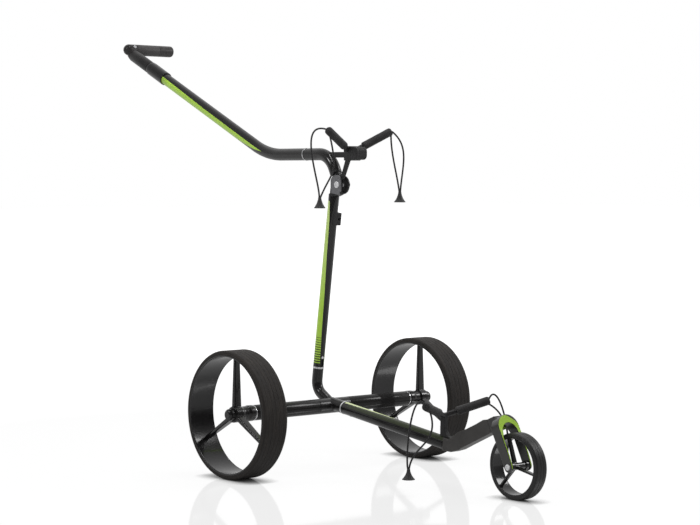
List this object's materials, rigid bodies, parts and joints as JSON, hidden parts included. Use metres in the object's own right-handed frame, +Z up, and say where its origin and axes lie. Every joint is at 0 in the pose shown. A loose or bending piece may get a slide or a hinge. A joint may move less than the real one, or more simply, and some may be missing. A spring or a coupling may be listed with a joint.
{
  "type": "electric golf trolley",
  "caption": "Three-wheeled electric golf trolley: carbon tube frame, folding handle with twist dial, padded bag arms with elastic cords, spoked rear wheels and a small front wheel.",
  "frame": {"origin": "on the ground, under the middle of the trolley's bounding box", "axes": "+X forward towards the front wheel, +Y to the left along the rear axle, +Z up"},
  "size_m": [1.522, 0.623, 1.0245],
  "materials": {
    "carbon": "clear-coated woven carbon tube, black",
    "carbon_green": "clear-coated woven carbon tube with a lime green decal",
    "gloss_black": "gloss black moulding",
    "black_metal": "satin black coat",
    "grey_metal": "satin grey coat",
    "lime_metal": "lime green front, dark grey sides",
    "silver": "satin machined aluminium",
    "steel": "ground steel",
    "tyre": "matte ribbed rubber",
    "soft_black": "matte foam and rubber",
    "cord": "braided elastic cord",
    "plastic": "matte black plastic",
    "circuit": "circuit board",
    "wire": "insulated wire"
  },
  "bodies": {
    "chassis": {"axle_tubes": "carbon", "center_lug": "black_metal", "rear_stub": "carbon", "upper_spigot": "silver", "front_spigot": "silver", "axle_ends": "silver", "axle_bearings": "steel", "motors": "steel", "gearboxes": "silver", "motor_controller": "circuit", "axle_wiring": "wire", "battery_socket": "plastic", "spigot_connector": "plastic", "snap_springs": "steel"},
    "upper_button": {"upper_snap_button": "silver"},
    "front_button": {"front_snap_button": "silver"},
    "right_drive": {"right_drive_shaft": "steel"},
    "right_wheel": {"right_rim": "gloss_black", "right_tyre": "tyre", "right_cap_spring": "steel"},
    "right_cap": {"right_hub_cap": "gloss_black"},
    "left_drive": {"left_drive_shaft": "steel"},
    "left_wheel": {"left_rim": "gloss_black", "left_tyre": "tyre", "left_cap_spring": "steel"},
    "left_cap": {"left_hub_cap": "gloss_black"},
    "upright": {"upright_tube": "carbon_green", "hinge_fork": "grey_metal", "hinge_disc": "black_metal", "hinge_bolt": "steel", "accessory_block": "plastic", "frame_cable": "wire"},
    "knob": {"clamp_knob": "plastic"},
    "handle": {"hinge_tongue": "black_metal", "handle_tube": "carbon", "handle_ring": "silver", "handle_collar": "gloss_black", "handle_sleeve": "soft_black", "handle_head": "black_metal", "grip_sleeve": "soft_black", "handle_cable": "wire", "upper_bracket": "black_metal", "upper_bag_pad": "soft_black", "upper_arm_sleeves": "soft_black", "upper_cords": "cord", "upper_toggles": "plastic"},
    "dial": {"speed_dial": "plastic"},
    "power": {"power_button": "silver"},
    "front_frame": {"lower_tube": "carbon", "wing_beam": "carbon", "lower_bracket": "black_metal", "lower_arm_sleeves": "soft_black", "lower_cords": "cord", "lower_toggles": "plastic", "front_fork": "lime_metal", "front_axle": "steel"},
    "front_wheel": {"front_rim": "gloss_black", "front_tyre": "tyre", "front_bearings": "steel"}
  },
  "joints": [
    {"name": "right_wheel_spin", "type": "hinge", "parent": "chassis", "child": "right_drive", "pos_m": [0.078, -0.2785, 0.145], "axis": [0, 1, 0], "continuous": true},
    {"name": "left_wheel_spin", "type": "hinge", "parent": "chassis", "child": "left_drive", "pos_m": [0.078, 0.2785, 0.145], "axis": [0, 1, 0], "continuous": true},
    {"name": "right_wheel_release", "type": "slide", "parent": "right_drive", "child": "right_wheel", "axis": [0, -1, 0], "range_m": [0, 0.05]},
    {"name": "left_wheel_release", "type": "slide", "parent": "left_drive", "child": "left_wheel", "axis": [0, 1, 0], "range_m": [0, 0.05]},
    {"name": "right_cap_press", "type": "slide", "parent": "right_wheel", "child": "right_cap", "axis": [0, 1, 0], "range_m": [0, 0.003], "stiffness_N_per_m": 800, "springref_m": -0.002},
    {"name": "left_cap_press", "type": "slide", "parent": "left_wheel", "child": "left_cap", "axis": [0, -1, 0], "range_m": [0, 0.003], "stiffness_N_per_m": 800, "springref_m": -0.002},
    {"name": "upright_release", "type": "slide", "parent": "chassis", "child": "upright", "axis": [0.1374, 0, 0.9905], "range_m": [0, 0.062]},
    {"name": "upper_button_press", "type": "slide", "parent": "chassis", "child": "upper_button", "axis": [-0.9905, 0, 0.1374], "range_m": [0, 0.0032], "stiffness_N_per_m": 600, "springref_m": -0.002},
    {"name": "front_release", "type": "slide", "parent": "chassis", "child": "front_frame", "axis": [0.9907, 0, -0.1357], "range_m": [0, 0.062]},
    {"name": "front_button_press", "type": "slide", "parent": "chassis", "child": "front_button", "axis": [0.1357, 0, 0.9907], "range_m": [0, 0.0032], "stiffness_N_per_m": 600, "springref_m": -0.002},
    {"name": "front_wheel_spin", "type": "hinge", "parent": "front_frame", "child": "front_wheel", "pos_m": [0.69, 0, 0.071], "axis": [0, 1, 0], "continuous": true},
    {"name": "handle_fold", "type": "hinge", "parent": "upright", "child": "handle", "pos_m": [0.104, 0, 0.66], "axis": [0, -1, 0], "range_deg": [-10, 65]},
    {"name": "clamp_knob_turn", "type": "hinge", "parent": "upright", "child": "knob", "pos_m": [0.104, 0.02, 0.66], "axis": [0, 1, 0], "range_deg": [0, 360]},
    {"name": "speed_dial_turn", "type": "hinge", "parent": "handle", "child": "dial", "pos_m": [-0.7465, 0.1, 1.01], "axis": [0, 1, 0], "range_deg": [0, 270]},
    {"name": "power_button_press", "type": "slide", "parent": "handle", "child": "power", "axis": [-0.8192, 0, -0.5736], "range_m": [0, 0.0015], "stiffness_N_per_m": 600, "springref_m": -0.001}
  ]
}
